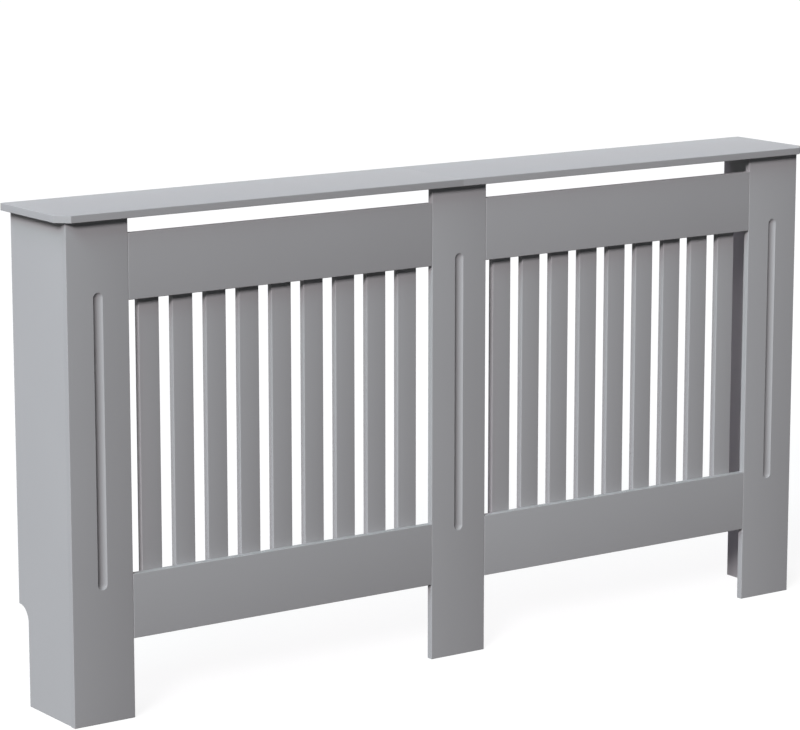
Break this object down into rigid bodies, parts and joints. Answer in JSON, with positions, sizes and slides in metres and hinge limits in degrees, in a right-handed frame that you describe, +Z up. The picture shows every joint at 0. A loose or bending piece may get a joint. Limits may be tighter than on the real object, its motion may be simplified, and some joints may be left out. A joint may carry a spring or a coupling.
{
  "type": "radiator cover cabinet",
  "caption": "Painted board radiator cover with a slatted front, grooved posts, a shelf on top and an open back that stands against the wall.",
  "frame": {"origin": "on the floor, at the middle of the cabinet's width and depth", "axes": "+X along the wall to the right as seen from the room, +Y from the room towards the wall, +Z up"},
  "size_m": [1.52, 0.19, 0.815],
  "materials": {
    "painted_board": "MDF with a satin light grey spray paint, eased edges",
    "beech": "fluted beech, unfinished",
    "zinc": "die-cast zinc, matt",
    "plated_steel": "bright zinc-plated steel",
    "screw_steel": "zinc-plated steel screws"
  },
  "bodies": {
    "root": {"top_panel_left": "painted_board", "side_panel_left": "painted_board", "top_panel_right": "painted_board", "side_panel_right": "painted_board", "front_post_left": "painted_board", "front_post_middle": "painted_board", "front_post_right": "painted_board", "upper_rail_left": "painted_board", "lower_rail_left": "painted_board", "upper_rail_right": "painted_board", "lower_rail_right": "painted_board", "slat_left_1": "painted_board", "slat_left_2": "painted_board", "slat_left_3": "painted_board", "slat_left_4": "painted_board", "slat_left_5": "painted_board", "slat_left_6": "painted_board", "slat_left_7": "painted_board", "slat_left_8": "painted_board", "slat_left_9": "painted_board", "slat_right_1": "painted_board", "slat_right_2": "painted_board", "slat_right_3": "painted_board", "slat_right_4": "painted_board", "slat_right_5": "painted_board", "slat_right_6": "painted_board", "slat_right_7": "painted_board", "slat_right_8": "painted_board", "slat_right_9": "painted_board", "side_dowels_left": "beech", "top_dowels_left": "beech", "rail_dowels_left": "beech", "side_dowels_right": "beech", "top_dowels_right": "beech", "rail_dowels_right": "beech", "seam_dowels": "beech", "side_cam_locks_left": "zinc", "top_cam_locks_left": "zinc", "side_cam_bolts_left": "plated_steel", "top_cam_bolts_left": "plated_steel", "side_cam_locks_right": "zinc", "top_cam_locks_right": "zinc", "side_cam_bolts_right": "plated_steel", "top_cam_bolts_right": "plated_steel", "rail_plates_left": "plated_steel", "rail_plate_screws_left": "screw_steel", "slat_screws_left": "screw_steel", "wall_bracket_left": "plated_steel", "rail_plates_right": "plated_steel", "rail_plate_screws_right": "screw_steel", "slat_screws_right": "screw_steel", "wall_bracket_right": "plated_steel", "seam_plates": "plated_steel", "post_brackets": "plated_steel", "seam_plate_screws": "screw_steel", "post_bracket_screws": "screw_steel", "wall_bracket_screws": "screw_steel"}
  },
  "joints": []
}
